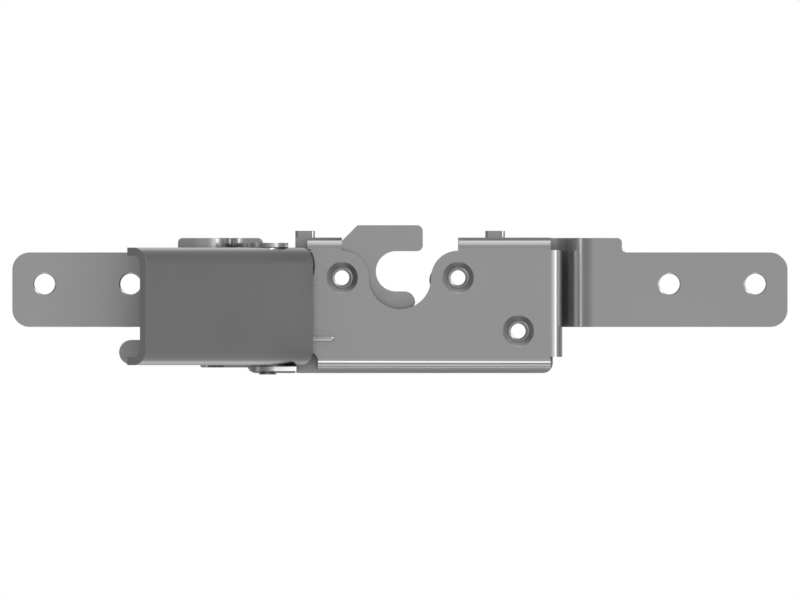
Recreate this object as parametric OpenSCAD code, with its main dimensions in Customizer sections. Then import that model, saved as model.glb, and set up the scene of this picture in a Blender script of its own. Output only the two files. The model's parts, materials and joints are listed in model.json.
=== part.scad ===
// Door latch for a vehicle cab: a claw and pawl between two plates, carried on two cranked
// straps, and released by a sprung lever that slides a trip bar.
// X runs along the latch, Y from the front to the back, Z up.
// The origin lies on the mounting face, midway between the strap holes.

/* [Mounting straps] */
// Overall length of the latch over both straps
overall_len = 263.6; // [250:0.2:290]
// Height of the straps
strap_h = 25.4; // [24:0.2:30]
// Thickness of the straps
strap_t = 4; // [3:0.25:5]
// Corner radius at the free end of each strap
strap_corner = 6; // [2:0.5:10]
// Diameter of the mounting screw holes
screw_hole_d = 7; // [5:0.1:8]
// Distance from the strap's end to its outer hole
hole_inset = 11; // [9:0.5:14]
// Distance between the two holes of a strap
hole_pitch = 29.25; // [20:0.25:34]
// Height of the holes above the strap's centre line
hole_rise = 1.93; // [0:0.01:3]
// Step from the strap's face to the face of its foot
step_depth = 14; // [13.5:0.5:18]
// Inside radius of the two bends in a strap
strap_bend = 4.4; // [3:0.1:5]
// Distance from the middle to the step wall
step_x = 57.3; // [57:0.1:62]
// Height of the ear that stands above each strap
ear_rise = 4.9; // [3:0.1:5]

/* [Case] */
// Thickness of the front plate
front_t = 2; // [1.5:0.1:2.4]
// Thickness of the back plate
back_t = 2; // [1.5:0.1:3]
// Height of the top edge of the back plate
case_top = 15.8; // [15.6:0.1:18]
// Depth of the bottom edge of the back plate
case_bottom = 30.3; // [30:0.1:34]
// Outside radius of the front plate's bends at the top and the bottom
lip_r = 3; // [2.6:0.1:3.4]
// Outside radius of the bend into the front plate's side flange
side_r = 4.1; // [3:0.1:4.4]
// Height of the mounting bushes that carry the claw and the pawl
pivot_z = 2.14; // [1.6:0.02:2.6]
// Distance from the middle to the claw's and the pawl's bush
pivot_x = 19.74; // [19.5:0.02:20.2]
// Radius of the plate lobes round the two bushes
lobe_r = 9.2; // [8.9:0.1:9.5]
// Position of the third bush along the latch
third_bush_x = 40.2; // [36:0.1:44]
// Depth of the third bush
third_bush_z = 16; // [12:0.1:19]
// Bore of the mounting bushes, tapped M6
bush_bore_d = 5; // [4:0.1:5.2]
// Outside diameter of the mounting bushes
bush_d = 10; // [9:0.1:10.2]

/* [Claw and pawl] */
// Thickness of the claw and the pawl
claw_t = 5; // [4:0.1:5.2]
// Width of the slot that takes the striker
striker_slot = 13.66; // [12.8:0.02:13.9]
// Radius of the claw's hub
claw_hub_r = 8.9; // [8.4:0.1:9.2]
// Reach of the claw's lower jaw from its pivot
jaw_reach = 26.3; // [25.6:0.1:27]
// Reach of the claw's locking tooth from its pivot
tooth_reach = 31.3; // [30.6:0.1:31.6]
// Depth to which the pawl's nose overlaps the locking tooth
nose_bite = 1.4; // [1:0.1:1.6]
// Angle through which the claw opens
claw_travel = 46; // [44:1:48]
// Angle through which the pawl turns
pawl_travel = 40; // [38:1:42]

/* [Lever] */
// Height of the lever over its two flanges
lever_h = 40; // [38:0.5:40]
// Length of the lever
lever_len = 85; // [60:0.1:100]
// Thickness of the lever's sheet
lever_t = 2.8; // [2:0.1:3]
// Depth of the lever's flanges
lever_depth = 8.6; // [8:0.1:9.2]
// Angle between the lever and the case
lever_tilt = 48; // [44:1:54]
// Position of the lever's pin along the latch
pin_x = 45; // [44:0.1:46]
// Distance from the mounting face to the lever's pin
pin_y = 12.75; // [12:0.05:14]
// Distance from the lever's front face to its pin
pin_behind_web = 11; // [10.5:0.1:11.5]
// Reach of the lever beyond its pin
lever_heel = 10.95; // [8:0.05:12]
// Diameter of the lever's pin
pin_d = 5; // [4:0.1:5.4]
// Angle through which the lever is pressed
lever_travel = 30; // [28:1:32]

/* [Trip bar] */
// Thickness of the trip bar
bar_t = 2; // [1.5:0.1:2.2]
// Height of the trip bar outside the case
bar_h = 8.4; // [7.6:0.1:8.6]
// Distance from the middle to the bar's rounded free end
bar_end_x = 95.5; // [85:0.5:110]
// Step in the trip bar
bar_step = 7; // [5:0.5:9]
// Slope of the trip bar's step
bar_slope = 52; // [40:1:60]

/* [Springs] */
// Wire diameter of the lever's spring
lever_wire_d = 1.6; // [1:0.1:1.8]
// Number of turns in the lever's spring
lever_turns = 4; // [3:1:5]
// Gap between the turns of each spring
turn_gap = 0.5; // [0.45:0.05:0.6]
// Wire diameter of the claw's and the pawl's springs
flat_wire_d = 1.2; // [0.8:0.1:1.3]

/* [Hidden] */

round_fn = 64;
$fn = round_fn;
eps = 0.01;
// Depth to which a straight side is sunk into the round it runs into
sink = 0.03;
// Running clearance between a shaft and its hole, on the radius
run_gap = 0.05;
// Gap between flat pieces that slide past each other
slide_gap = 0.3;

// Straps
half_len = overall_len / 2;
outer_hole_x = half_len - hole_inset;
inner_hole_x = outer_hole_x - hole_pitch;
hole_chamfer = 0.55;
strap_top = strap_h / 2 - hole_rise;
strap_bottom = strap_top - strap_h;
foot_y = step_depth - strap_t;
bend_out = strap_bend + strap_t;
strap_flat_x = step_x + bend_out;
foot_flat_x = step_x - strap_bend;
foot_end_x = 27;
ear_x = [46.55, 75.5];
ear_top = strap_top + ear_rise;
ear_corner = 1.6;
ear_round = 1.8;

// Case, from the front to the back
back_y = foot_y - back_t;
front_y = -strap_t;
inside_y = front_y + front_t;
front_top = case_top - 0.94;
front_bottom = -case_bottom + 2.15;
lip_depth = 4.4;
case_left_x = -35.6;
front_left_x = -33.5;
case_right_x = 51.95;
side_flange_x = 55.25;
side_flange_z = [-24.8, 11.56];
case_corner = 3.4;
lug_top = case_top + 2.3;
lug_w = 6.65;
lug_x = [case_left_x, 29];
lug_round = 1;
lip_left_x = [-31.5, -pivot_x];
lip_right_x = [pivot_x + 0.16, case_right_x - 0.75];
notch_x = -27.9;
notch_z = -23.1;
notch_r = 3;
nose_r = 5;
nose_tip_x = 9.95;
nose_drop = 0.8;
foot_t = 1.3;
foot_drop = 1.05;
foot_round = 0.5;
heel_notch_r = 11.7;
heel_notch_at = [-28.95 - heel_notch_r, 6];
neck_r = pivot_x - lobe_r;
neck_z = 2;
claw_pivot = [-pivot_x, pivot_z];
pawl_pivot = [pivot_x, pivot_z];
third_pivot = [third_bush_x, -third_bush_z];
bush_r = bush_d / 2;
bush_neck_r = bush_bore_d / 2 + 0.85;
dish_r = 5.4;
dish_depth = 1.8;
bush_head_depth = 1.3;
bush_swage = 0.25;

// Claw and pawl
bar_y = inside_y + slide_gap;
claw_y = bar_y + bar_t + 0.5;
slot_r = striker_slot / 2;
slot_at = [18.38, 2.18];
arm_top = 17.86;
arm_end = 27.5;
arm_corner = 2;
jaw_round = 3.55;
jaw_at = [21.29, slot_at[1] - slot_r - jaw_round];
tooth_face = -36.2;
tooth_back = -60;
jaw_from = 5;
jaw_under = 10;
nose_angle = tooth_face + 7.6;
nose_reach = tooth_reach - nose_bite;
pawl_hub_r = 7;
pin_slot_gap = 0.15;

// Lever
pin_at = [-pin_x, -pin_y];
lever_top = 12.4;
lever_bottom = lever_top - lever_h;
lever_bend = 2.8;
pin_r = pin_d / 2;
sleeve_r = pin_r + 1.4;
lug_r = pin_r + 3;
web_y = -pin_behind_web;
flange_y = web_y + lever_depth;
ear_t = 1.5;
lever_gap = 0.1;
lug_foot_x = -17;
washer_t = 0.3;
washer_r = 6;
ear_low = lever_bottom - washer_t - 2 * lever_gap;
bracket_ear_r = 7;
bracket_bend = 1.5;
low_ear_r = 6.3;
low_ear_x = -35.2;
low_ear_side_y = -2;
base_x = [-52, case_left_x - lever_gap];
base_hang = 0.7;
base_z = ear_low - ear_t - base_hang;
base_corner = 3;
pin_tail_r = 3.1;
pin_tail = 1.2;

// Trip bar
bar_low = lever_bottom + 0.2;
bar_z = bar_low + bar_h / 2;
bar_reach = pin_y + bar_y + bar_t / 2;
bar_travel = 2 * bar_reach * tan(lever_travel / 2);
trip_arm = bar_travel / 2 / tan(pawl_travel / 2);
trip_at = [pivot_x - bar_travel / 2, pivot_z - trip_arm];
trip_r = 1.5;
trip_eye_r = 3.4;
finger_w = 4;
finger_t = 2;
finger_tip = bar_reach + bar_t / 2 + 1.5;
finger_z = lever_bottom + lever_t + lever_gap;
window_x = -pin_x - bar_travel / 2;
window_w = finger_w / cos(lever_travel / 2) + bar_t * tan(lever_travel / 2) + 0.6;
guide_x = [-30, -14.5];
guide_r = 2;
guide_head_r = 3;
bar_in_h = 5.8;
bar_in_z = -19.9;
bar_in_x = -37;
bar_riser = 5;
bar_arm_x = 5;
bar_bend_x = -66.85;
bar_deep_x = [-68, -51.6];
bar_deep = 1;
low_ear_neck_x = bar_deep_x[1] + bar_travel + 0.8;

// Springs
ring_sides = 6;
rings_per_turn = 8;
coil_r = sleeve_r + 0.4 + lever_wire_d / 2;
coil_pitch = lever_wire_d + turn_gap;
coil_rise = 8.9;
coil_low = lever_bottom + coil_rise;
leg_tip_x = -22.4;
flat_pitch = flat_wire_d + turn_gap;
flat_y = (claw_y + claw_t + back_y) / 2;
flat_r = bush_r + 0.6 + flat_wire_d / 2;
claw_spring_turns = 2;
claw_post_angle = -40;
pawl_spring_turns = 1.5;
pawl_post_angle = -128;

// Lays front view outlines, in X and Z, as plates of thickness t from y back
module plate(y, t) {
    for (i = [0:$children - 1]) translate([0, y + t, 0]) rotate([90, 0, 0]) linear_extrude(t) children(i);
}

// Runs a section in Y and Z along X from x to x + len
module along_x(x, len) {
    translate([x, 0, 0]) rotate([90, 0, 90]) linear_extrude(len) children();
}

// Runs plan sections, in X and Y, up from z to z + h
module upright(z, h) {
    for (i = [0:$children - 1]) translate([0, 0, z]) linear_extrude(h) children(i);
}

// Round rod along Y, at p in the front view, from y to y + len
module rod_y(p, r, y, len) {
    translate([p[0], y, p[1]]) rotate([-90, 0, 0]) cylinder(r = r, h = len);
}

// Cone that takes the edge off a hole of radius r in a face at y, to the depth c
module chamfer_y(p, r, y, c) {
    translate([p[0], y - c, p[1]]) rotate([-90, 0, 0]) cylinder(r1 = r + 2 * c, r2 = r - c, h = 3 * c);
}

// Quarter of a bent sheet's section; q turns it by quarter turns
module bend(centre, r_out, t, q) {
    translate(centre) rotate(90 * q) intersection() {
        difference() {
            circle(r_out);
            circle(r_out - t);
        }
        square(r_out + 1);
    }
}

// Rectangle from corner a to corner b
module span(a, b) {
    translate([min(a[0], b[0]), min(a[1], b[1])]) square([abs(b[0] - a[0]), abs(b[1] - a[1])]);
}

// Rectangle with each corner rounded by its own radius, from the low left one round
module soft_span(a, b, r) {
    difference() {
        span(a, b);
        corner_cut([a[0], a[1]], r[0], 0);
        corner_cut([b[0], a[1]], r[1], 1);
        corner_cut([b[0], b[1]], r[2], 2);
        corner_cut([a[0], b[1]], r[3], 3);
    }
}

// What is cut off a square corner at p to round it; q turns it by quarter turns
module corner_cut(p, r, q) {
    if (r > 0) translate(p) rotate(90 * q) difference() {
        translate([-1, -1]) square(r + 1);
        translate([r, r]) circle(r);
    }
}

// Wedge between two angles, out to r
module wedge(from, to, r) {
    polygon([[0, 0], [cos(from), sin(from)] * r,
             [cos((from + to) / 2), sin((from + to) / 2)] * r * 1.2, [cos(to), sin(to)] * r]);
}

// Point where a line from p meets a circle of radius r round the origin, sunk a little into it
function touch(p, r, side) =
    let (q = r - sink, a = atan2(p[1], p[0]) + side * acos(q / norm(p))) [cos(a), sin(a)] * q;

// Points of an arc round c
function arc(c, r, a0, a1, n) =
    [for (i = [0:n]) let (a = a0 + (a1 - a0) * i / n) c + [cos(a), sin(a)] * r];

// Cross product turned into a unit vector
function across(a, b) = let (c = cross(a, b)) c / norm(c);

// Direction of a path at its point i
function heading(path, i) =
    let (d = path[min(i + 1, len(path) - 1)] - path[max(i - 1, 0)]) d / norm(d);

// One unbroken round wire along a path; up holds, for each point, a direction that crosses it
module wire(path, d, up) {
    n = len(path);
    m = ring_sides;
    points = [for (i = [0:n - 1], k = [0:m - 1])
        let (h = heading(path, i), s = across(up[i], h), u = cross(h, s), a = 360 * k / m)
        path[i] + (s * cos(a) + u * sin(a)) * d / 2];
    sides = [for (i = [0:n - 2], k = [0:m - 1])
        let (a = i * m + k, b = i * m + (k + 1) % m)
        each [[a, b, b + m], [a, b + m, a + m]]];
    low = [for (k = [1:m - 2]) [0, k + 1, k]];
    high = [for (k = [1:m - 2]) let (o = (n - 1) * m) [o, o + k, o + k + 1]];
    polyhedron(points = points, faces = concat(
        [for (f = sides) [f[0], f[2], f[1]]], [for (f = low) [f[0], f[2], f[1]]],
        [for (f = high) [f[0], f[2], f[1]]]));
}

// Least gap between turns of a wire, measured on its points, a turn or more apart
function least_gap(path, d, apart) =
    min([for (i = [0:len(path) - 1 - apart], j = [i + apart:len(path) - 1])
        norm(path[i] - path[j])]) - d;

// Plan section of the right strap: foot, bend, wall, bend, strap
module strap_plan() {
    span([foot_end_x, foot_y], [foot_flat_x, step_depth]);
    bend([foot_flat_x, foot_y - strap_bend], bend_out, strap_t, 0);
    span([step_x, strap_bend], [step_x + strap_t, foot_y - strap_bend]);
    bend([strap_flat_x, strap_bend], bend_out, strap_t, 2);
    span([strap_flat_x, -strap_t], [half_len, 0]);
}

// Front outline of the right strap with its ear
module strap_face() {
    difference() {
        union() {
            soft_span([foot_end_x, strap_bottom], [half_len, strap_top],
                      [2, strap_corner, strap_corner, 2]);
            soft_span([ear_x[0], strap_bottom + 3], [ear_x[1], ear_top], [0, 0, ear_corner, ear_round]);
            translate([ear_x[1], strap_top]) corner_cut([0, 0], ear_corner, 0);
        }
        translate(pawl_pivot) circle(bush_r + 1.2);
        translate(third_pivot) circle(bush_r + 1.2);
    }
}

// Right strap; the left one is its mirror image
module strap() {
    difference() {
        intersection() {
            upright(strap_bottom, ear_top - strap_bottom) strap_plan();
            plate(-strap_t, step_depth + strap_t) strap_face();
        }
        for (x = [inner_hole_x, outer_hole_x]) {
            rod_y([x, 0], screw_hole_d / 2, -strap_t - 1, strap_t + 2);
            chamfer_y([x, 0], screw_hole_d / 2, -strap_t, hole_chamfer);
        }
        for (p = strap_rivet_at) rod_y(p, rivet_r + run_gap, foot_y - 1, strap_t + 2);
    }
}
rivet_r = 2;
strap_rivet_at = [[47.6, 5.5], [31, -8], [47.6, -10]];

module right_strap() { color("silver") strap(); }
module left_strap() { color("silver") mirror([1, 0, 0]) strap(); }

// Space of the throat, open at the top, between lobes of the given radius
module throat(r_lobe) {
    r_neck = pivot_x - r_lobe;
    difference() {
        union() {
            span([-pivot_x, pivot_z], [pivot_x, case_top + 10]);
            translate([0, neck_z]) circle(r_neck);
            span([-r_neck, neck_z], [r_neck, pivot_z + 1]);
        }
        for (p = [claw_pivot, pawl_pivot]) translate(p) circle(r_lobe);
    }
}

// Back plate: the flat side of the case, with two locating lugs on its top edge and a nose on each
// side of its throat
module back_plate() {
    color("gainsboro") difference() {
        union() {
            plate(back_y, back_t) difference() {
                soft_span([case_left_x, -case_bottom], [case_right_x, case_top],
                          [1, case_corner, 1, 0]);
                throat(lobe_r);
            }
            plate(back_y, back_t) for (s = [-1, 1])
                translate([s * (nose_tip_x + nose_r), pivot_z - nose_drop]) circle(nose_r);
            for (x = lug_x)
                upright(case_top - eps, lug_top - case_top)
                    soft_span([x, back_y], [x + lug_w, foot_y], [lug_round, lug_round, 0, 0]);
        }
        for (p = [claw_pivot, pawl_pivot, third_pivot])
            rod_y(p, bush_neck_r + run_gap, back_y - 1, back_t + 2);
        for (s = [-1, 1], p = strap_rivet_at)
            rod_y([s * p[0], p[1]], rivet_r + run_gap, back_y - 1, back_t + 2);
        for (x = guide_x) rod_y([x, bar_in_z], guide_r + run_gap, back_y - 1, back_t + 2);
        rod_y(stop_at, stop_r + run_gap, back_y - 1, back_t + 2);
        rod_y(claw_pivot + flat_start(claw_spring_turns, claw_post_angle), flat_wire_d / 2 + 0.2,
              back_y - 1, back_t + 2);
        rod_y(pawl_pivot + flat_start(pawl_spring_turns, pawl_post_angle), flat_wire_d / 2 + 0.2,
              back_y - 1, back_t + 2);
    }
}

// Section of the foot on which the bottom flange stands on the back plate
module bottom_foot() {
    difference() {
        span([back_y - foot_t - foot_round, front_bottom - foot_drop], [back_y, front_bottom + 1]);
        span([back_y - foot_t - foot_round - 1, front_bottom - foot_drop - 1],
             [back_y - foot_t, front_bottom - foot_round]);
        translate([back_y - foot_t - foot_round, front_bottom - foot_round]) circle(foot_round);
    }
}

// Front plate: pressed sheet with rolled lips at the top, a side flange and a bottom flange
module front_plate() {
    bend_y = front_y + lip_r;
    color("gainsboro") difference() {
        union() {
            plate(front_y, front_t) difference() {
                union() {
                    span([front_left_x, notch_z], [side_flange_x - side_r, front_top - lip_r]);
                    span([notch_x, front_bottom + lip_r - eps], [case_right_x - 1, 0]);
                    span([0, side_flange_z[0]], [side_flange_x - side_r + eps, side_flange_z[1]]);
                    for (x = [lip_left_x, lip_right_x])
                        span([x[0], 0], [x[1], front_top - lip_r + eps]);
                    translate([notch_x, notch_z]) corner_cut([0, 0], notch_r, 2);
                }
                throat(lobe_r);
                translate(heel_notch_at) circle(heel_notch_r);
            }
            for (x = [lip_left_x, lip_right_x]) along_x(x[0], x[1] - x[0]) {
                bend([bend_y, front_top - lip_r], lip_r, front_t, 1);
                span([bend_y - eps, front_top - front_t], [front_y + lip_depth, front_top]);
            }
            along_x(notch_x, lip_right_x[1] - notch_x) {
                bend([bend_y, front_bottom + lip_r], lip_r, front_t, 2);
                span([bend_y - eps, front_bottom], [back_y, front_bottom + front_t]);
                bottom_foot();
            }
            upright(side_flange_z[0], side_flange_z[1] - side_flange_z[0]) {
                bend([side_flange_x - side_r, front_y + side_r], side_r, front_t, 3);
                span([side_flange_x - front_t, front_y + side_r - eps], [side_flange_x, back_y + 1]);
            }
        }
        for (p = [claw_pivot, pawl_pivot, third_pivot]) {
            rod_y(p, bush_neck_r + run_gap, front_y - 1, front_t + 2);
            translate([p[0], front_y - eps, p[1]]) rotate([-90, 0, 0])
                cylinder(r1 = dish_r, r2 = bush_neck_r + run_gap, h = dish_depth);
        }
    }
}

// Mounting bush: shouldered tube between the plates, its front end swaged in the dish
module bush(p) {
    neck = bush_neck_r;
    bore = bush_bore_d / 2;
    head_y = front_y + bush_head_depth;
    swage_y = front_y + dish_depth;
    translate([p[0], 0, p[1]]) rotate([-90, 0, 0]) rotate_extrude() polygon([
        [bore, foot_y], [bore, head_y + bush_swage], [neck, head_y], [neck + bush_swage, head_y],
        [neck, swage_y], [neck, inside_y], [bush_r, inside_y],
        [bush_r, back_y], [neck, back_y], [neck, foot_y]]);
}
module claw_bush() { color("lightgray") bush(claw_pivot); }
module pawl_bush() { color("lightgray") bush(pawl_pivot); }
module spare_bush() { color("lightgray") bush(third_pivot); }

// Rivet from y to y + grip, with a low head at each end
module rivet(p, r, y, grip, front_head, back_head) {
    rod_y(p, r, y, grip);
    if (front_head > 0) rod_y(p, r * 1.7, y - front_head, front_head);
    if (back_head > 0) translate([p[0], y + grip, p[1]]) rotate([-90, 0, 0])
        cylinder(r1 = r * 1.7, r2 = r * 1.2, h = back_head);
}

// Rivets that hold the plates to the feet of the straps
module strap_rivets() {
    color("lightgray") for (s = [-1, 1], p = strap_rivet_at)
        if (s > 0 || p[0] < -case_left_x) rivet([s * p[0], p[1]], rivet_r, back_y, back_t + strap_t, 1, 1.2);
}

// Sector of the claw between two angles, out to r
module claw_sector(from, to, r) {
    intersection() {
        circle(r);
        wedge(from, to, r + 4);
    }
}

// Claw: a hub with a hooked arm, a lower jaw and a locking tooth, slotted for the striker
module claw() {
    hub_in = claw_hub_r - sink;
    back_tip = [cos(tooth_back), sin(tooth_back)] * (tooth_reach - 1.5);
    slot_low = slot_at[1] - slot_r;
    color("darkgray") translate([claw_pivot[0], 0, claw_pivot[1]]) difference() {
        plate(claw_y, claw_t) {
            circle(claw_hub_r);
            polygon([[-1, 1] / sqrt(2) * hub_in, [arm_top - hub_in * sqrt(2), arm_top],
                     [slot_at[0] + 1, arm_top], [slot_at[0] + 1, 0], [0, -1]]);
            soft_span([slot_at[0] - 6, slot_at[1] + slot_r - 1], [arm_end, arm_top],
                      [0, arm_corner, arm_corner, 0]);
            claw_sector(jaw_from, tooth_face - jaw_under, jaw_reach);
            claw_sector(tooth_face, tooth_back, tooth_reach);
            polygon([[1, 0], back_tip + [1, 1], back_tip, touch(back_tip, claw_hub_r, -1)]);
        }
        plate(claw_y - 1, claw_t + 2) {
            translate(slot_at) circle(slot_r);
            span([slot_at[0], slot_low], [jaw_reach + slot_r, slot_at[1] + slot_r]);
            translate([arm_end, slot_at[1] + slot_r]) corner_cut([0, 0], arm_corner, 1);
            difference() {
                span(jaw_at, jaw_at + [2 * jaw_round, jaw_round + eps]);
                translate(jaw_at) circle(jaw_round);
            }
        }
        rod_y([0, 0], bush_r + run_gap, claw_y - 1, claw_t + 2);
        rod_y(flat_end(claw_spring_turns, claw_post_angle), flat_wire_d / 2 + 0.2, claw_y + claw_t - 2, 3);
    }
}

// Washer that keeps the claw off the front plate
module claw_washer() {
    color("gainsboro") difference() {
        rod_y(claw_pivot, bush_r + 2.6, inside_y + lever_gap, claw_y - inside_y - 2 * lever_gap);
        rod_y(claw_pivot, bush_r + run_gap, inside_y - 1, claw_y - inside_y + 2);
    }
}

// Pin that stops the claw when it is open
stop_r = 2;
stop_at = claw_pivot + [-claw_hub_r - stop_r - 0.35, 7];
module claw_stop() {
    color("lightgray") rod_y(stop_at, stop_r, claw_y - 0.3, foot_y - claw_y + 0.3);
}

// Outline of the pawl round its pivot: hub, nose and the slotted arm that the bar pushes
nose_at = claw_pivot + [cos(nose_angle), sin(nose_angle)] * nose_reach - pawl_pivot;
nose_out = [cos(nose_angle), sin(nose_angle)];
nose_side = [-nose_out[1], nose_out[0]];
module pawl_outline() {
    arm = trip_at - pawl_pivot;
    foot = nose_at + nose_out * 6.5;
    difference() {
        union() {
            circle(pawl_hub_r);
            polygon([nose_at, foot, foot + nose_side * 4, touch(foot + nose_side * 4, pawl_hub_r, 1),
                     [0, 0], touch(nose_at + nose_side * 5, pawl_hub_r, -1),
                     nose_at + nose_side * 5]);
            translate(arm) circle(trip_r + 2.6);
        }
        circle(bush_r + run_gap);
        rotate(atan2(arm[1], arm[0])) {
            soft_span([trip_arm - trip_r - pin_slot_gap, -trip_r - pin_slot_gap],
                      [norm(arm) + trip_r + pin_slot_gap, trip_r + pin_slot_gap], [0, 0, 0, 0]);
        }
    }
}

// Pawl: the catch that holds the claw shut
module pawl() {
    color("darkgray") difference() {
        plate(claw_y, claw_t) translate(pawl_pivot) pawl_outline();
        rod_y(pawl_pivot + flat_end(pawl_spring_turns, pawl_post_angle), flat_wire_d / 2 + 0.2,
              claw_y + claw_t - 2, 3);
    }
}

// Places of a flat spring's outer and inner ends, from its pivot, for an outer end at the angle
function flat_end(turns, angle) = [cos(angle), sin(angle)] * (flat_r + turns * flat_pitch);
function flat_start(turns, angle) = [cos(angle - 360 * turns), sin(angle - 360 * turns)] * flat_r;

// Path of a flat spring round the origin: a post in the back plate, an even spiral, a post in
// the piece that it turns
function flat_path(turns, angle) = let (a = flat_start(turns, angle), b = flat_end(turns, angle))
    concat([[a[0], back_y + 1.5, a[1]]],
        [for (i = [0:turns * 2 * rings_per_turn])
            let (f = i / (2 * rings_per_turn), t = angle - 360 * (turns - f), r = flat_r + f * flat_pitch)
            [cos(t) * r, flat_y, sin(t) * r]],
        [[b[0], claw_y + claw_t - 1.5, b[1]]]);

// Flat spiral spring round p
module flat_spring(p, turns, angle) {
    path = flat_path(turns, angle);
    echo(least_gap = least_gap(path, flat_wire_d, 2 * rings_per_turn - 2));
    translate([p[0], 0, p[1]]) wire(path, flat_wire_d, [for (q = path) [q[0], 0, q[2]]]);
}
module claw_spring() { color("dimgray") flat_spring(claw_pivot, claw_spring_turns, claw_post_angle); }
module pawl_spring() { color("dimgray") flat_spring(pawl_pivot, pawl_spring_turns, pawl_post_angle); }

// Plan section of the trip bar: forward arm, sloping step and the straight part
module bar_plan() {
    x0 = bar_bend_x;
    r = 2.8;
    s = bar_slope;
    y_arm = bar_y - bar_step;
    run = r + (r - bar_t);
    dx = run * sin(s);
    dy = run * (1 - cos(s));
    x1 = x0 + dx + (bar_step - dy) / tan(s);
    polygon(concat(
        [[-bar_end_x, y_arm], [x0, y_arm]],
        arc([x0, y_arm + r], r, -90, -90 + s, 6),
        arc([x1, bar_y - (r - bar_t)], r - bar_t, 90 + s, 90, 6),
        [[trip_at[0] + trip_eye_r, bar_y], [trip_at[0] + trip_eye_r, bar_y + bar_t]],
        arc([x1, bar_y - (r - bar_t)], r, 90, 90 + s, 6),
        arc([x0, y_arm + r], r - bar_t, -90 + s, -90, 6),
        [[-bar_end_x, y_arm + bar_t]]));
}

// Front outline of the trip bar
module bar_face() {
    in_low = bar_in_z - bar_in_h / 2;
    in_top = bar_in_z + bar_in_h / 2;
    soft_span([-bar_end_x, bar_low], [bar_in_x, bar_low + bar_h], [bar_h / 2, 1, 0, bar_h / 2]);
    soft_span([bar_deep_x[0], bar_low - bar_deep], [bar_deep_x[1], bar_low + 2], [bar_deep, 0, 0, 0]);
    soft_span([bar_in_x - bar_riser, min(bar_low, in_low)], [bar_in_x, max(bar_low + bar_h, in_top)],
              [1, 1, 0, 1]);
    span([bar_in_x - 2, in_low], [bar_arm_x + 1, in_top]);
    polygon([[bar_arm_x, in_top], [bar_arm_x, in_low], [trip_at[0], in_low],
             [trip_at[0] + trip_eye_r - sink, in_low + 4], trip_at + [trip_eye_r - sink, 0],
             trip_at - [trip_eye_r - sink, 0], [trip_at[0] - trip_eye_r + sink, in_top + 3],
             [trip_at[0] - trip_eye_r - 3, in_top]]);
    translate(trip_at) circle(trip_eye_r);
}

// Trip bar: slides along the case and swings the pawl
module trip_bar() {
    color("darkgray") difference() {
        intersection() {
            upright(bar_low - 2, trip_at[1] + trip_eye_r + 4 - bar_low) bar_plan();
            plate(bar_y - bar_step - 1, bar_step + bar_t + 2) bar_face();
        }
        plate(bar_y - 1, bar_t + 2) {
            span([window_x - window_w / 2, finger_z - slide_gap],
                 [window_x + window_w / 2, finger_z + finger_t + slide_gap]);
            for (x = guide_x)
                soft_span([x - bar_travel - guide_r - 0.2, bar_in_z - guide_r - 0.1],
                          [x + guide_r + 0.2, bar_in_z + guide_r + 0.1], [2, 2, 2, 2]);
        }
        rod_y(trip_at, trip_r + run_gap, bar_y - 1, bar_t + 2);
    }
}

// Pin in the trip bar's end that stands in the pawl's slot
module trip_pin() {
    color("lightgray") rod_y(trip_at, trip_r, bar_y, bar_t + 0.5 + claw_t - 1);
}

// Headed studs in the back plate on which the trip bar slides
module bar_guides() {
    color("lightgray") for (x = guide_x) {
        rod_y([x, bar_in_z], guide_r, inside_y + 0.05, foot_y - inside_y - 0.05);
        rod_y([x, bar_in_z], guide_head_r, bar_y + bar_t + slide_gap, 1.2);
    }
}

// Plan outline of the upper ear, rounded about the lever's pin
module upper_ear_plan() {
    translate(pin_at) circle(bracket_ear_r);
    span(pin_at - [bracket_ear_r - sink, 0],
         [-pin_x + bracket_ear_r - sink, foot_y - bracket_bend - ear_t + eps]);
}

// Plan outline of the lower ear: a round nose about the pin with a slanting side on the right, on
// a neck that leaves room for the trip bar on the left
module lower_ear_plan() {
    side = [low_ear_x + pin_x, low_ear_side_y];
    translate(pin_at) circle(low_ear_r);
    span([low_ear_neck_x, pin_at[1]], [base_x[1], foot_y - ear_t / 2]);
    span([base_x[1] - 1, side[1] - pin_y - sink], [low_ear_x, back_y - slide_gap]);
    translate(pin_at) polygon([[0, 1], touch(side, low_ear_r, -1), side, [side[0], 1]]);
}

// Lever bracket: a base behind the lever with an ear above and an ear below it
module lever_bracket() {
    out = bracket_bend + ear_t;
    z_up = lever_top + lever_gap + ear_t;
    z_down = ear_low - ear_t;
    color("gainsboro") difference() {
        union() {
            plate(foot_y - ear_t, ear_t) soft_span([base_x[0], base_z], [base_x[1], z_up - out],
                                                   [base_corner, 0, 0, 0]);
            along_x(-pin_x - bracket_ear_r + sink, 2 * (bracket_ear_r - sink))
                bend([foot_y - out, z_up - out], out, ear_t, 0);
            upright(z_up - ear_t, ear_t) upper_ear_plan();
            upright(z_down, ear_t) lower_ear_plan();
        }
        translate([pin_at[0], pin_at[1], z_down - 1]) cylinder(r = pin_r + run_gap, h = z_up - z_down + 2);
        for (p = bracket_rivet_at) rod_y(p, rivet_r + run_gap, foot_y - ear_t - 1, ear_t + 2);
    }
}
bracket_rivet_at = [[-47.6, 5.5], [-47.6, -10]];

// Rivets that hold the lever bracket to the foot of the left strap
module bracket_rivets() {
    color("lightgray") for (p = bracket_rivet_at)
        rivet(p, rivet_r, foot_y - ear_t, ear_t + strap_t, 1, 1.2);
}

// Turns the lever's own frame, with its pin at the origin, into place
module at_lever() {
    translate([pin_at[0], pin_at[1], 0]) rotate([0, 0, lever_tilt]) children();
}

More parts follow.
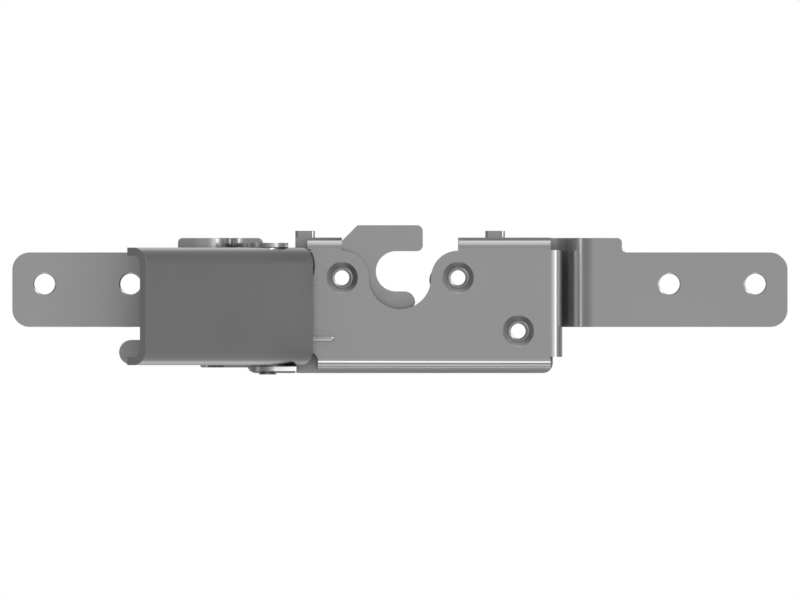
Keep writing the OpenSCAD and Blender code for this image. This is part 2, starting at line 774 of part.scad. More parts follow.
// Lever: a channel with a lug on each flange for its pin
module lever() {
    r_out = lever_bend + lever_t;
    far = lever_heel - lever_len;
    color("dimgray") at_lever() difference() {
        union() {
            intersection() {
                along_x(far, lever_len) difference() {
                    soft_span([web_y, lever_bottom], [lug_r, lever_top], [r_out, 0, 0, r_out]);
                    soft_span([web_y + lever_t, lever_bottom + lever_t],
                              [lug_r + 1, lever_top - lever_t], [lever_bend, 0, 0, lever_bend]);
                }
                upright(lever_bottom - 1, lever_h + 2) {
                    span([far, web_y], [lever_heel, flange_y]);
                    circle(lug_r);
                    polygon([[lug_foot_x, flange_y], touch([lug_foot_x, flange_y], lug_r, -1), [0, 0],
                             [0, flange_y - 1], [lug_foot_x, flange_y - 1]]);
                    polygon([[lever_heel, flange_y], touch([lever_heel, flange_y], lug_r, 1), [0, 0],
                             [0, flange_y - 1], [lever_heel, flange_y - 1]]);
                }
            }
        }
        translate([0, 0, lever_bottom - 1]) cylinder(r = pin_r + run_gap, h = lever_h + 2);
        for (p = finger_rivet_at) translate([p[0], p[1], lever_bottom - 1])
            cylinder(r = finger_rivet_r + run_gap, h = lever_t + 2);
    }
}

// Sleeve round the pin between the lever's flanges
module lever_sleeve() {
    color("lightgray") at_lever() difference() {
        translate([0, 0, lever_bottom + lever_t]) cylinder(r = sleeve_r, h = lever_h - 2 * lever_t);
        translate([0, 0, lever_bottom]) cylinder(r = pin_r + run_gap, h = lever_h);
    }
}

// Pin of the lever, flush in the upper ear and headed under the lower one
module lever_pin() {
    top = lever_top + lever_gap + ear_t;
    low = ear_low - ear_t;
    color("lightgray") translate([pin_at[0], pin_at[1], 0]) {
        translate([0, 0, low]) cylinder(r = pin_r, h = top - low);
        translate([0, 0, low - pin_tail]) cylinder(r1 = pin_tail_r, r2 = pin_r, h = pin_tail);
    }
}

// Washer between the lever and the lower ear
module lever_washer() {
    color("gainsboro") translate([pin_at[0], pin_at[1], ear_low + lever_gap]) difference() {
        cylinder(r = washer_r, h = washer_t);
        translate([0, 0, -1]) cylinder(r = pin_r + run_gap, h = washer_t + 2);
    }
}

// Release finger: the arm behind the lever's pin that moves the trip bar
finger_hub_r = 5.8;
finger_foot_x = [-11.4, 10.2];
finger_foot_y = [-5.9, -1.9];
finger_rivet_r = 1.2;
finger_rivet_at = [[-9.2, -3.9], [8, -3.9]];
finger_lean = 90 + lever_travel / 2 - lever_tilt;
module release_finger() {
    color("darkgray") at_lever() difference() {
        upright(finger_z, finger_t) {
            circle(finger_hub_r);
            rotate(finger_lean)
                soft_span([0, -finger_w / 2], [finger_tip, finger_w / 2], [0, 1.2, 1.2, 0]);
            soft_span([finger_foot_x[0], finger_foot_y[0]], [finger_foot_x[1], finger_foot_y[1]],
                      [1, 1, 1, 1]);
        }
        translate([0, 0, finger_z - 1]) cylinder(r = sleeve_r + run_gap, h = finger_t + 2);
        for (p = finger_rivet_at) translate([p[0], p[1], finger_z - 1])
            cylinder(r = finger_rivet_r + run_gap, h = finger_t + 2);
    }
}

// Rivets that hold the finger to the lever's lower flange
module finger_rivets() {
    color("lightgray") at_lever() for (p = finger_rivet_at) {
        translate([p[0], p[1], lever_bottom])
            cylinder(r = finger_rivet_r, h = lever_t + lever_gap + finger_t);
        translate([p[0], p[1], finger_z + finger_t]) cylinder(r = finger_rivet_r * 1.7, h = 0.8);
    }
}

// Path of the lever's spring: a leg on the front plate, the coil, a leg against the web
leg_y = front_y - lever_wire_d / 2 - lever_gap;
leg_turn = [-31, leg_y] - pin_at;
leg_from = touch(leg_turn, coil_r, -1);
leg_angle = atan2(leg_from[1], leg_from[0]);
coil_sweep = 360 * lever_turns - 15;
coil_rings = rings_per_turn * lever_turns;
coil_top = coil_low + coil_pitch * lever_turns;
last_leg = 8;
last_angle = leg_angle - coil_sweep;
coil_path = concat(
    [[leg_tip_x, leg_y, coil_low], [(leg_tip_x + leg_turn[0] - pin_x) / 2, leg_y, coil_low],
     [leg_turn[0] - pin_x, leg_y, coil_low]],
    [for (i = [0:coil_rings])
        let (a = leg_angle - coil_sweep * i / coil_rings)
        [pin_at[0] + cos(a) * coil_r, pin_at[1] + sin(a) * coil_r,
         coil_low + (coil_top - coil_low) * i / coil_rings]],
    [[pin_at[0] + cos(last_angle) * coil_r + sin(last_angle) * last_leg,
      pin_at[1] + sin(last_angle) * coil_r - cos(last_angle) * last_leg, coil_top]]);
module lever_spring() {
    echo(least_gap = least_gap(coil_path, lever_wire_d, rings_per_turn));
    color("darkgray") wire(coil_path, lever_wire_d, [for (q = coil_path) [0, 0, 1]]);
}

left_strap();
right_strap();
back_plate();
front_plate();
claw_bush();
pawl_bush();
spare_bush();
strap_rivets();
claw();
claw_washer();
claw_spring();
claw_stop();
pawl();
pawl_spring();
trip_bar();
trip_pin();
bar_guides();
lever_bracket();
bracket_rivets();
lever();
lever_sleeve();
lever_pin();
lever_washer();
release_finger();
finger_rivets();
lever_spring();
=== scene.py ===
"""Cab door latch: rounded edges, springs, threads, finishes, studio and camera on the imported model."""

import json

import bmesh
import bpy
import numpy as np
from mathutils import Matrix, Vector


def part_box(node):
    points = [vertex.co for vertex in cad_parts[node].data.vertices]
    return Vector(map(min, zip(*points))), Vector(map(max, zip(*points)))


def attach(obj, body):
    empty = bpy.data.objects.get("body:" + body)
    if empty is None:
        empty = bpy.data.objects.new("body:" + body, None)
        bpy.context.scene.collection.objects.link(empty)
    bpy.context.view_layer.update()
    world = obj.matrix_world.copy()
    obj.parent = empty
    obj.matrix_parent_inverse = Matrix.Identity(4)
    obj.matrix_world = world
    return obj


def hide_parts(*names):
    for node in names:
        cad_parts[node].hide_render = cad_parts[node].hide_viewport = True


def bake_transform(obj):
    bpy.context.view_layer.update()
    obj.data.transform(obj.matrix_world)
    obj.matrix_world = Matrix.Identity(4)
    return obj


MM = 0.001

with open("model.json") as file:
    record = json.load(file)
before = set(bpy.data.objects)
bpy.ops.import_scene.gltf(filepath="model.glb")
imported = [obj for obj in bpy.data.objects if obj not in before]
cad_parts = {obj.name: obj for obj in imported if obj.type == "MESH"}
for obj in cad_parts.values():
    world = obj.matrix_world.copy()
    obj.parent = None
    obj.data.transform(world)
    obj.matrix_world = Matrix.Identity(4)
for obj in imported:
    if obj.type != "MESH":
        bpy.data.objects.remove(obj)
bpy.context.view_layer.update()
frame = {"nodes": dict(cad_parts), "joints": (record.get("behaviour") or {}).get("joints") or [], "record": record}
body_of = {node: body for body, nodes in frame["record"]["behaviour"]["bodies"].items() for node in nodes}

# Middles of the three tapped bores, in metres
bush_at = {mount["name"]: mount["pos_m"] for mount in frame["record"]["mounts"] if "bush" in mount["name"]}

# Camera: square on to the front, without perspective
VIEW_WIDTH = 0.272
VIEW_CENTRE_Z = -5.44 * MM
CAMERA_DISTANCE = 1.2
CAMERA_REACH = 10.0

camera = bpy.data.objects.new("camera", bpy.data.cameras.new("camera"))
bpy.context.collection.objects.link(camera)
camera.data.type = "ORTHO"
camera.data.ortho_scale = VIEW_WIDTH
camera.data.clip_end = CAMERA_REACH
camera.location = (0, -CAMERA_DISTANCE, VIEW_CENTRE_Z)
camera.rotation_euler = (np.pi / 2, 0, 0)
bpy.context.scene.camera = camera
bpy.context.scene.view_settings.view_transform = "Standard"

# Arithmetic on values that vary over a surface

NOISE_ROUGHNESS = 0.55
SHELTER_SAMPLES = 8


class Value:
    """A number that varies over a surface: arithmetic on it adds math nodes."""

    def __init__(self, nodes, socket):
        self.nodes = nodes
        self.socket = socket

    def _math(self, operation, *inputs):
        return self.nodes.add("ShaderNodeMath", {"operation": operation}, dict(enumerate(inputs)))

    def __add__(self, other):
        return self._math("ADD", self, other)

    __radd__ = __add__

    def __mul__(self, other):
        return self._math("MULTIPLY", self, other)

    __rmul__ = __mul__

    def __sub__(self, other):
        return self._math("SUBTRACT", self, other)

    def __rsub__(self, other):
        return self._math("SUBTRACT", other, self)

    def __rpow__(self, other):
        return self._math("POWER", other, self)

    def band(self, low, high):
        """0 below low, 1 above high and a smooth step between them."""
        settings = {"interpolation_type": "SMOOTHSTEP"}
        inputs = {"Value": self, "From Min": low, "From Max": high}
        return self.nodes.add("ShaderNodeMapRange", settings, inputs)


class Nodes:
    """The node tree of one finish, or of the sky."""

    def __init__(self, tree):
        self.tree = tree
        tree.nodes.clear()

    def add(self, kind, settings=None, inputs=None, out=0):
        """Adds one node: its settings first, then the values or links of its sockets."""
        node = self.tree.nodes.new(kind)
        for name, setting in (settings or {}).items():
            setattr(node, name, setting)
        for name, value in (inputs or {}).items():
            self.join(node.inputs[name], value)
        return Value(self, node.outputs[out]) if node.outputs else node

    def join(self, socket, value):
        """Links a value to a socket, or sets the socket to a plain number or colour."""
        if isinstance(value, Value):
            self.tree.links.new(value.socket, socket)
        else:
            socket.default_value = value

    def place(self, scale=(1, 1, 1)):
        """A point of the piece in metres, stretched."""
        here = self.add("ShaderNodeTexCoord", out="Object")
        return self.add("ShaderNodeMapping", {}, {"Vector": here, "Scale": scale})

    def noise(self, place, scale, detail):
        """Soft noise from 0 to 1, with scale spots to the metre and detail octaves of finer ones."""
        inputs = {"Vector": place, "Scale": scale, "Detail": detail, "Roughness": NOISE_ROUGHNESS}
        return self.add("ShaderNodeTexNoise", {}, inputs)

    def mix(self, amount, low, high):
        """Colour between low and high."""
        inputs = {"Factor": amount, 6: low, 7: high}
        return self.add("ShaderNodeMix", {"data_type": "RGBA"}, inputs, out=2)

    def sheltered(self, reach):
        """How far the surface is shut in, 0 where nothing stands within reach."""
        settings = {"samples": SHELTER_SAMPLES}
        return 1.0 - self.add("ShaderNodeAmbientOcclusion", settings, {"Distance": reach}, out="AO")

    def off_axis(self, centre):
        """Distance from the front to back line through a point."""
        inputs = {0: self.place((1, 0, 1)), 1: (centre[0], 0, centre[2])}
        return self.add("ShaderNodeVectorMath", {"operation": "DISTANCE"}, inputs, out="Value")

    def along(self, direction):
        """Distance of the surface from the origin in one direction."""
        inputs = {0: self.place(), 1: direction}
        return self.add("ShaderNodeVectorMath", {"operation": "DOT_PRODUCT"}, inputs, out="Value")


def grey(level):
    return (level, level, level, 1.0)


# Where shade is painted into the plating, and where the lever's end face is darker. Each function gives how strong
# the mark is, from 0 to 1.

DISH_EDGE = (5.1 * MM, 5.5 * MM)
LEVER_ANGLE = np.radians(48)
LEVER_WAY = (-np.cos(LEVER_ANGLE), -np.sin(LEVER_ANGLE), 0.0)
SHEARED_FACE = (0.1 * MM, 0.03 * MM)
# Where the painted shade on the lever fades out along it, and how strong it is at the heel
LEVER_SHADE_FADES = (28 * MM, 60 * MM)
LEVER_SHADE_SHARE = 0.8
SHADE_STARTS = (-118 * MM, -88 * MM)
SHADE_ENDS = (-71 * MM, -67 * MM)
SHADE_SHARE = 0.55
# Heights between which the painted shade on the claw's jaw fades out
JAW_SHADE_FADES = (-6 * MM, 4 * MM)


def reach_of(node, way):
    """How far a CAD node reaches in one direction."""
    mesh = frame["nodes"][node].data
    points = np.empty(len(mesh.vertices) * 3)
    mesh.vertices.foreach_get("co", points)
    return float((points.reshape(-1, 3) @ np.array(way)).max())


def in_dishes(nodes):
    """1 inside the dishes pressed round the bushes, where shade is painted into the plating."""
    inside = 0.0
    for centre in bush_at.values():
        inside = inside + (1.0 - nodes.off_axis(centre).band(*DISH_EDGE))
    return inside


def on_lever(nodes):
    """1 on the sheared free end of the lever, and painted shade on its heel and round its pin, fading out toward
    the free end.
    """
    end = reach_of("lever", LEVER_WAY)
    place = nodes.along(LEVER_WAY)
    sheared = place.band(end - SHEARED_FACE[0], end - SHEARED_FACE[1])
    return sheared + (1.0 - place.band(*LEVER_SHADE_FADES)) * LEVER_SHADE_SHARE


def under_lever(nodes):
    """SHADE_SHARE on the flat of the left strap behind the lever, which keeps the light from it."""
    x = nodes.along((1, 0, 0))
    return x.band(*SHADE_STARTS) * (1.0 - x.band(*SHADE_ENDS)) * SHADE_SHARE


def low_on_jaw(nodes):
    """1 on the lower jaw of the claw, where shade is painted in its corners, 0 on its arm."""
    return 1.0 - nodes.along((0, 0, 1)).band(*JAW_SHADE_FADES)


# Finishes

CLOUD_SCALE = 60.0
CLOUD_DETAIL = 4.0
CLOUD_EDGES = (0.3, 0.7)
CLOUD_ROUGHNESS = 0.02
GRAIN_SCALE = 1800.0
GRAIN_DETAIL = 2.0
GRAIN_ROUGHNESS = 0.03
GRAIN_STRENGTH = 0.03
GRAIN_HEIGHT = 0.02 * MM
DARK_SHARE = 0.975
LIGHT_SHARE = 1.02
# Share of the level that the colour falls to where shade is painted in full
SHADE_COLOUR_SHARE = 0.1
CORNER_REACH = 8 * MM
ROOM_REACH = 70 * MM
# How much painted shade a mark adds to the colour, and how much rougher it makes the surface
MARK_SHADE_DEPTH = 0.24
MARK_ROUGHNESS = 0.15

# How the grain is drawn out: along the rolling of the sheet, or up and down the lever
ALONG_X = (0.02, 1, 1)
ALONG_Z = (1, 1, 0.02)


def plated(
    name, level, roughness, grain=(1, 1, 1), corner=0.45, room=0.3, matt=0.3, near=None, shade_mark=None
):
    """Zinc plated steel: faint clouds in the plating, rolling grain along the sheet, and painted shade
    that darkens the colour by the share corner where another piece stands nearby, by the share room
    where the surface is shut in more widely, and wherever the shade mark says. near limits the painted
    shade by corner to a part of the surface, and matt is how much rougher the surface is where it is shut in."""
    made = bpy.data.materials.new(name)
    made.use_nodes = True
    nodes = Nodes(made.node_tree)
    clouds = nodes.noise(nodes.place(), CLOUD_SCALE, CLOUD_DETAIL).band(*CLOUD_EDGES)
    lines = nodes.noise(nodes.place(grain), GRAIN_SCALE, GRAIN_DETAIL)
    # Painted shade: ambient occlusion darkens the base colour near other pieces and where the surface is shut in
    close = nodes.sheltered(CORNER_REACH) * corner
    if near:
        close = close * near(nodes)
    shut_in = nodes.sheltered(ROOM_REACH)
    painted_shade = close + shut_in * room
    smoothest = roughness - (CLOUD_ROUGHNESS + GRAIN_ROUGHNESS) / 2
    rough = clouds * CLOUD_ROUGHNESS + lines * GRAIN_ROUGHNESS + shut_in * matt + smoothest
    if shade_mark:
        marked_shade = shade_mark(nodes)
        painted_shade = painted_shade + marked_shade * MARK_SHADE_DEPTH
        rough = rough + marked_shade * MARK_ROUGHNESS
    clean = nodes.mix(clouds * 0.5 + lines * 0.5, grey(level * DARK_SHARE), grey(level * LIGHT_SHARE))
    bump = {"Height": lines, "Strength": GRAIN_STRENGTH, "Distance": GRAIN_HEIGHT}
    inputs = {
        "Base Color": nodes.mix(painted_shade, clean, grey(level * SHADE_COLOUR_SHARE)),
        "Metallic": 1.0,
        "Roughness": rough,
        "Normal": nodes.add("ShaderNodeBump", {}, bump),
    }
    nodes.add("ShaderNodeOutputMaterial", {}, {"Surface": nodes.add("ShaderNodeBsdfPrincipled", {}, inputs)})
    return made


# Every finish paints shade into its colour near other pieces and where it is shut in
FINISHES = {
    "strap_bar": plated("strap_bar", 0.78, 0.13, ALONG_X, corner=0.15, room=0.15, matt=0.8),
    "shaded_bar": plated("shaded_bar", 0.78, 0.12, ALONG_X, corner=0.15, matt=0.1, shade_mark=under_lever),
    "zinc_sheet": plated("zinc_sheet", 0.78, 0.13, ALONG_X),
    # The front plate's sheet paints shade inside the dishes round the bushes
    "dished_sheet": plated("dished_sheet", 0.78, 0.13, ALONG_X, corner=0.15, room=0.15, shade_mark=in_dishes),
    # The trip bar's sheet is a darker copy of the plating, painted shade of the lever's shadow, with more shade
    # where it is shut in
    "shadowed_sheet": plated("shadowed_sheet", 0.66, 0.16, ALONG_X, room=0.4),
    # The lever's sheet is a darker copy of the plating, painted shade, with more shade painted where it is shut in
    # and near its pin
    "lever_sheet": plated("lever_sheet", 0.715, 0.14, ALONG_Z, room=0.5, shade_mark=on_lever),
    # The claw's steel paints its corner shade only low down, on the jaw
    "hardened_steel": plated("hardened_steel", 0.79, 0.15, ALONG_X, corner=0.5, room=0.12, near=low_on_jaw),
    "turned_steel": plated("turned_steel", 0.8, 0.13, room=0.4),
    "bush_steel": plated("bush_steel", 0.55, 0.25, corner=0.2, room=0.2),
    "spring_wire": plated("spring_wire", 0.85, 0.12, room=0.4),
}

# Pieces. From here to the floor, lengths are in millimetres.

MERGE_GAP = 0.002
FLAT_ANGLE = np.radians(0.5)
SHARP_ANGLE = np.radians(34)
EDGE_SEGMENTS = 2


def dress(piece, node, finish, twist):
    """Puts a finished piece in place of a CAD node and gives it its finish. It rides on the node's body,
    or, if twist is given, keeps its place and rides on no body."""
    piece.data.materials.append(FINISHES[finish])
    if twist:
        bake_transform(piece)
    else:
        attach(piece, body_of[node])
    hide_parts(node)


def add_piece(node, name, points, faces, finish, edge=None, twist=None):
    """A smooth surface in place of a CAD node, with its edges rounded to the radius edge and its
    flats kept flat."""
    mesh = bpy.data.meshes.new(name)
    mesh.from_pydata((points * MM).tolist(), [], faces)
    mesh.shade_smooth()
    piece = bpy.data.objects.new(name, mesh)
    bpy.context.collection.objects.link(piece)
    if edge:
        bevel = piece.modifiers.new("edges", "BEVEL")
        bevel.width = edge * MM
        bevel.segments = EDGE_SEGMENTS
        bevel.limit_method = "ANGLE"
        bevel.angle_limit = SHARP_ANGLE
    flats = piece.modifiers.new("flats", "WEIGHTED_NORMAL")
    flats.mode = "FACE_AREA"
    dress(piece, node, finish, twist)


# Share of its drilled depth that a punched hole's chamfer has, and the depths between which a
# point belongs to a chamfer's inner rim, which may lie RIM_SLACK outside the hole's radius
PRESSED = 0.45
RIM_DEPTHS = (0.1, 0.8)
RIM_SLACK = 0.1

# Running gap between the bracket's foot and the back plate, and how near a point on it lies
FOOT_GAP = 0.1
FOOT_SLACK = 0.02


def pressed_chamfers(points):
    """Chamfers of the straps' punched holes: y = face + PRESSED (y - face) on their inner rims."""
    face = points[:, 1].min()
    depth = points[:, 1] - face
    for mount in frame["record"]["mounts"]:
        if mount["kind"] == "bolt_pattern":
            beside = np.abs(points[:, 0]) - mount["dims"]["spacing_x_mm"] / 2
            off = np.hypot(beside, points[:, 2])
            in_hole = off < mount["dims"]["hole_r_mm"] + RIM_SLACK
            rim = in_hole & (depth > RIM_DEPTHS[0]) & (depth < RIM_DEPTHS[1])
            points[rim, 1] = face + depth[rim] * PRESSED
    return points


def seated_foot(points):
    """Closes the running gap between the bracket's foot and the back plate beside it."""
    plate_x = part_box("back_plate")[0][0] / MM
    beside = np.abs(points[:, 0] - plate_x + FOOT_GAP) < FOOT_SLACK
    points[beside, 0] = plate_x
    return points


RESHAPE = {"left_strap": pressed_chamfers, "right_strap": pressed_chamfers, "lever_bracket": seated_foot}


def rounded(node, finish, edge):
    """The CAD node's own surface with its triangles joined, its flat faces whole and its edges
    rounded to the radius edge."""
    work = bmesh.new()
    work.from_mesh(frame["nodes"][node].data)
    bmesh.ops.remove_doubles(work, verts=work.verts, dist=MERGE_GAP * MM)
    bmesh.ops.dissolve_limit(work, angle_limit=FLAT_ANGLE, verts=work.verts, edges=work.edges)
    points = np.array([vertex.co[:] for vertex in work.verts]) / MM
    faces = [[vertex.index for vertex in face.verts] for face in work.faces]
    work.free()
    if node in RESHAPE:
        points = RESHAPE[node](points)
    add_piece(node, node + "_rounded", points, faces, finish, edge)


def grid_faces(rows, columns, rows_meet=False):
    """Faces of a grid whose columns close into rings, and whose last row meets its first if asked."""
    row = np.arange(rows if rows_meet else rows - 1)[:, None]
    column = np.arange(columns)[None, :]
    after, beside = (row + 1) % rows, (column + 1) % columns
    here, ahead = row * columns, after * columns
    corners = [here + column, here + beside, ahead + beside, ahead + column]
    return np.stack([corner.ravel() for corner in corners], axis=1).tolist()


def unit(vectors):
    return vectors / np.linalg.norm(vectors, axis=-1, keepdims=True)


DOME_ANGLES = np.radians([20, 40, 60, 80])


def wire(node, path, side, diameter, sides=20, twist=None):
    """Round wire: at each point of the path a ring, path + r (u cos a + v sin a), where u is side
    made square to the path's direction t and v = t x u. Each end is a dome: rings that move on by
    r sin b while their radius falls as cos b."""
    path = np.asarray(path, dtype=float)
    along = unit(np.gradient(path, axis=0))
    u = np.broadcast_to(side, path.shape)
    u = unit(u - (u * along).sum(axis=1, keepdims=True) * along)
    v = np.cross(along, u)
    r = diameter / 2
    b = DOME_ANGLES
    start = path[0] - along[0] * (r * np.sin(b))[::-1, None]
    end = path[-1] + along[-1] * (r * np.sin(b))[:, None]
    centres = np.concatenate([start, path, end])
    radii = r * np.concatenate([np.cos(b)[::-1], np.ones(len(path)), np.cos(b)])
    u, v = (np.concatenate([w[:1].repeat(len(b), 0), w, w[-1:].repeat(len(b), 0)]) for w in (u, v))
    a = np.linspace(0, 2 * np.pi, sides, endpoint=False)[None, :, None]
    points = centres[:, None] + radii[:, None, None] * (u[:, None] * np.cos(a) + v[:, None] * np.sin(a))
    faces = grid_faces(len(centres), sides)
    last = (len(centres) - 1) * sides
    faces += [list(range(sides))[::-1], list(range(last, last + sides))]
    add_piece(node, node + "_made", points.reshape(-1, 3), faces, "spring_wire", twist=twist)


def bend(before, corner, after, count=10):
    """Points of a soft corner: (1 - t)^2 before + 2 t (1 - t) corner + t^2 after."""
    t = np.linspace(0, 1, count)[:, None]
    return (1 - t) ** 2 * before + 2 * t * (1 - t) * corner + t**2 * after


def step(start, end, length):
    """The point at a length from start toward end."""
    return start + unit(end - start) * length


# Springs

POINTS_PER_TURN = 40
LEG_POINTS = 8
LEVER_WIRE_D = 1.6
LEVER_COIL_R = 5.1
LEVER_TURNS = 4
LEVER_COIL_SWEEP = np.radians(360 * LEVER_TURNS - 15)
LEVER_LEG_GAP = 0.1
LEVER_LEG_BEND_X = -31
LEVER_LEG_BEND = 2
LEVER_LAST_LEG = 8
LEVER_JOINT = next(joint for joint in frame["joints"] if joint["name"] == "lever_press")
LEVER_PIN = np.array(LEVER_JOINT["pos_m"]) / MM


def lever_spring():
    """A leg on the front plate, a bend, a tangent to the coil, the coil pin + R (cos a, sin a) with
    z rising evenly with a, and a last tangent leg. It keeps its place and rides on no body."""
    low, high = (np.array(corner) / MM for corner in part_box("lever_spring"))
    z_low, z_high = low[2] + LEVER_WIRE_D / 2, high[2] - LEVER_WIRE_D / 2
    leg_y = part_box("front_plate")[0][1] / MM - LEVER_WIRE_D / 2 - LEVER_LEG_GAP
    tip = np.array([high[0] - LEVER_WIRE_D / 2, leg_y, z_low])
    corner = np.array([LEVER_LEG_BEND_X, leg_y, z_low])
    out = corner[:2] - LEVER_PIN[:2]
    first = np.arctan2(out[1], out[0]) - np.arccos(LEVER_COIL_R / np.hypot(*out))
    turn = np.linspace(0, 1, POINTS_PER_TURN * LEVER_TURNS)
    angle = first - LEVER_COIL_SWEEP * turn
    coil = np.stack([
        LEVER_PIN[0] + LEVER_COIL_R * np.cos(angle),
        LEVER_PIN[1] + LEVER_COIL_R * np.sin(angle),
        z_low + (z_high - z_low) * turn,
    ], axis=1)
    leg = coil[-1] + np.array([np.sin(angle[-1]), -np.cos(angle[-1]), 0]) * LEVER_LAST_LEG
    soft = bend(step(corner, tip, LEVER_LEG_BEND), corner, step(corner, coil[0], LEVER_LEG_BEND))
    lead = np.linspace(tip, soft[0], LEG_POINTS, endpoint=False)
    path = np.concatenate([lead, soft, coil, np.linspace(coil[-1], leg, LEG_POINTS)[1:]])
    foot = (LEVER_PIN[0] * MM, LEVER_PIN[1] * MM, (z_low + LEVER_WIRE_D) * MM)
    head = (LEVER_PIN[0] * MM, LEVER_PIN[1] * MM, (z_high - LEVER_WIRE_D) * MM)
    wire("lever_spring", path, (0, 0, 1), LEVER_WIRE_D, twist=(foot, head))


SHEET_T = 2
FLAT_WIRE_D = 1.2
FLAT_WIRE_SIDES = 14
FLAT_R = 6.2
FLAT_PITCH = 1.7
FLAT_BEND = 0.8
FLAT_BEND_POINTS = 7
FLAT_BEND_SKIP = 2
POST_DEPTH = 1.5
TO_BACK = np.array([0, 1, 0])


def flat_spring(node, bush, turns, outer_angle):
    """A post in the back plate, a soft bend, the spiral with radius FLAT_R + FLAT_PITCH f at the
    angle outer_angle - 360 (turns - f), a soft bend and a post in the piece that it turns. Each
    bend takes the place of the spiral's first or last points."""
    centre = np.array([bush_at[bush][0], 0, bush_at[bush][2]]) / MM
    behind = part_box("back_plate")[1][1] / MM - SHEET_T
    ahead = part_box("claw")[1][1] / MM
    middle = (behind + ahead) / 2
    f = np.linspace(0, turns, int(POINTS_PER_TURN * turns))
    angle = np.radians(outer_angle - 360 * (turns - f))
    r = FLAT_R + FLAT_PITCH * f
    spiral = centre + np.stack([r * np.cos(angle), np.full_like(f, middle), r * np.sin(angle)], axis=1)
    skip = FLAT_BEND_SKIP
    first = bend(spiral[0] + TO_BACK * FLAT_BEND, spiral[0], spiral[skip], FLAT_BEND_POINTS)
    last = bend(spiral[-1 - skip], spiral[-1], spiral[-1] - TO_BACK * FLAT_BEND, FLAT_BEND_POINTS)
    back_end = spiral[0] + TO_BACK * (behind - middle + POST_DEPTH)
    front_end = spiral[-1] - TO_BACK * (middle - ahead + POST_DEPTH)
    path = np.concatenate([[back_end], first, spiral[skip + 1 : -1 - skip], last, [front_end]])
    side = (path - centre) * (1, 0, 1)
    wire(node, path, side, FLAT_WIRE_D, FLAT_WIRE_SIDES)


# Profile of a bush, from the mouth of its bore over the swaged head, the neck in the front plate
# and the shoulders to the neck in the back plate: radius and Y
BUSH_BORE_R = 2.5
BUSH_PROFILE = [
    (BUSH_BORE_R, -2.45), (3.2, -2.65), (3.6, -2.6), (3.85, -2.25), (3.35, -2.0),
    (5, -2), (5, 8), (3.35, 8), (3.35, 10), (BUSH_BORE_R + 0.4, 10),
]
BUSH_SIDES = 64
BUSH_EDGE = 0.08
THREAD_PITCH = 1.0
THREAD_DEPTH = 0.54
ROWS_PER_PITCH = 10

# How far the first and the last row of the thread stay from the ends of the profile
THREAD_BACK_LAND = 0.1
THREAD_FRONT_LAND = 0.05


def threaded_bush(node):
    """A turned profile with its corners cut at BUSH_EDGE, closed by a threaded bore: its radius is
    BUSH_BORE_R + depth |2 frac(y / pitch - a / 2 pi) - 1|, and the depth fades at the mouth."""
    profile = np.array(BUSH_PROFILE)
    toward = unit(np.roll(profile, -1, axis=0) - profile) * BUSH_EDGE
    back = np.roll(toward, 1, axis=0)
    corners = np.stack([profile - back, profile + toward], axis=1).reshape(-1, 2)[1:-1]
    last, first = corners[-1, 1] - THREAD_BACK_LAND, corners[0, 1] + THREAD_FRONT_LAND
    y = np.arange(last, first, -THREAD_PITCH / ROWS_PER_PITCH)
    radius = np.concatenate([corners[:, 0], np.full(len(y), BUSH_BORE_R)])
    fade = np.clip((y - y.min()) / THREAD_PITCH, 0, 1)
    depth = np.concatenate([np.zeros(len(corners)), THREAD_DEPTH * fade])
    y = np.concatenate([corners[:, 1], y])[:, None]
    a = np.linspace(0, 2 * np.pi, BUSH_SIDES, endpoint=False)[None, :]
    wave = np.abs(2 * ((y / THREAD_PITCH - a / (2 * np.pi)) % 1) - 1)
    r = radius[:, None] + depth[:, None] * wave
    centre = np.array(bush_at[node + "_thread"]) / MM
    across, up = centre[0] + r * np.cos(a), centre[2] + r * np.sin(a)
    points = np.stack([across, np.broadcast_to(y, r.shape), up], axis=2)
    faces = grid_faces(*r.shape, rows_meet=True)
    add_piece(node, node + "_made", points.reshape(-1, 3), faces, "bush_steel")


lever_spring()
flat_spring("claw_spring", "claw_bush_thread", turns=2, outer_angle=-40)
flat_spring("pawl_spring", "pawl_bush_thread", turns=1.5, outer_angle=-128)
for bush in ("claw_bush", "pawl_bush", "spare_bush"):
    threaded_bush(bush)

# Finish and edge radius of each piece that keeps its CAD shape
DRESS = {
    "left_strap": ("shaded_bar", 0.3),
    "right_strap": ("strap_bar", 0.3),
    "back_plate": ("zinc_sheet", 0.45),
    "front_plate": ("dished_sheet", 0.07),
    "strap_rivets": ("turned_steel", 0.3),
    "claw": ("hardened_steel", 0.2),
    "claw_washer": ("zinc_sheet", 0.1),
    "claw_stop": ("turned_steel", 0.2),
    "pawl": ("hardened_steel", 0.2),
    "trip_bar": ("shadowed_sheet", 0.15),
    "trip_pin": ("turned_steel", 0.2),
    "bar_guides": ("turned_steel", 0.2),
    "lever_bracket": ("zinc_sheet", 0.15),
    "bracket_rivets": ("turned_steel", 0.3),
    "lever": ("lever_sheet", 0.2),
    "lever_sleeve": ("turned_steel", 0.1),
    "lever_pin": ("turned_steel", 0.2),
    "lever_washer": ("zinc_sheet", 0.05),
    "release_finger": ("zinc_sheet", 0.15),
    "finger_rivets": ("turned_steel", 0.2),
}

for node, (finish, edge) in DRESS.items():
    rounded(node, finish, edge)

# Floor and light. Lengths are in metres again.

FLOOR_DEPTH = 120 * MM
FLOOR_HALF = 1.5
FLOOR_LEVEL = 0.8
FLOOR_ROUGHNESS = 0.9

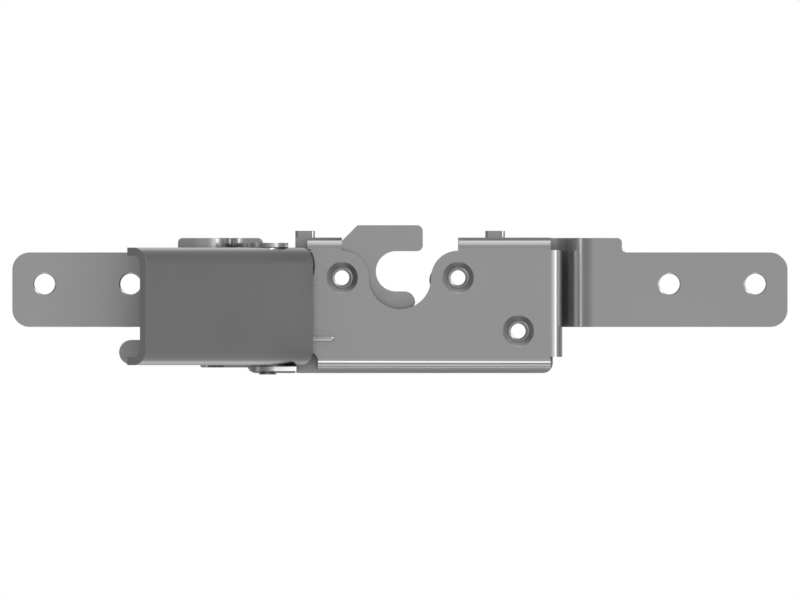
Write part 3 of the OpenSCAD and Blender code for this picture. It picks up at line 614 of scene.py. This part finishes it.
floor_mesh = bpy.data.meshes.new("floor")
ways = ((-1, -1), (1, -1), (1, 1), (-1, 1))
floor_corners = [(x * FLOOR_HALF, y * FLOOR_HALF, -FLOOR_DEPTH) for x, y in ways]
floor_mesh.from_pydata(floor_corners, [], [(0, 1, 2, 3)])
floor = bpy.data.objects.new("floor", floor_mesh)
floor.visible_glossy = False
bpy.context.collection.objects.link(floor)
paint = bpy.data.materials.new("floor_paint")
paint.use_nodes = True
shell = paint.node_tree.nodes["Principled BSDF"]
shell.inputs["Base Color"].default_value = grey(FLOOR_LEVEL)
shell.inputs["Roughness"].default_value = FLOOR_ROUGHNESS
floor_mesh.materials.append(paint)

# Soft lights of the studio: angle off the line of sight, bearing from +X toward +Z, brightness
# and half width, with the angles in degrees
LIGHTS = [
    (20, 0, 0.335, 40),
    (51, 0, 1.25, 7),
    (60, 0, 0.23, 40),
    (47, 42, 6, 7),
    (46, -145, 0.3, 15),
    (133, -21, 0.3, 20),
    (133, -159, 0.3, 20),
    (63, 180, 0.75, 6),
    (78, 180, 0.19, 35),
    (55, -90, 1.35, 8),
    (110, -90, 0.64, 23),
    (85, 90, 0.61, 32),
    (120, 90, 0.57, 16),
    (163, 0, 0.32, 18),
    (139, -65, 0.32, 10),
    (150, 75, 0.3, 12),
    (105, -35, 0.06, 25),
    (105, 35, 0.04, 25),
    (42, -90, 0.23, 22),
    (32, 0, 0.3, 9),
    (180, 0, 0.34, 28),
]


def studio_sky():
    """World light, plain white to the camera and on the floor. Elsewhere it is the sum over the
    lights of brightness times e^(k(d - 1)), where d is the dot product of the ray and the light's
    direction, and k makes it fall to a half at the light's half width."""
    world = bpy.data.worlds.new("studio")
    bpy.context.scene.world = world
    world.use_nodes = True
    nodes = Nodes(world.node_tree)
    ray = nodes.add("ShaderNodeTexCoord", out="Generated")
    total = 0.0
    for off, bearing, brightness, width in LIGHTS:
        off, bearing = np.radians(off), np.radians(bearing)
        toward = (np.sin(off) * np.cos(bearing), -np.cos(off), np.sin(off) * np.sin(bearing))
        inputs = {0: ray, 1: toward}
        dot = nodes.add("ShaderNodeVectorMath", {"operation": "DOT_PRODUCT"}, inputs, out="Value")
        sharpness = float(np.log(2) / (1 - np.cos(np.radians(width))))
        total = total + float(np.e) ** ((dot - 1.0) * sharpness) * brightness
    light = nodes.add("ShaderNodeBackground", {}, {"Color": grey(1.0), "Strength": total})
    plain = nodes.add("ShaderNodeBackground", {}, {"Color": grey(1.0)})
    to_camera = nodes.add("ShaderNodeLightPath", out="Is Camera Ray")
    from_matt = nodes.add("ShaderNodeLightPath", out="Is Diffuse Ray")
    both = nodes.add("ShaderNodeMixShader", {}, {0: to_camera + from_matt, 1: light, 2: plain})
    nodes.add("ShaderNodeOutputWorld", {}, {"Surface": both})


studio_sky()
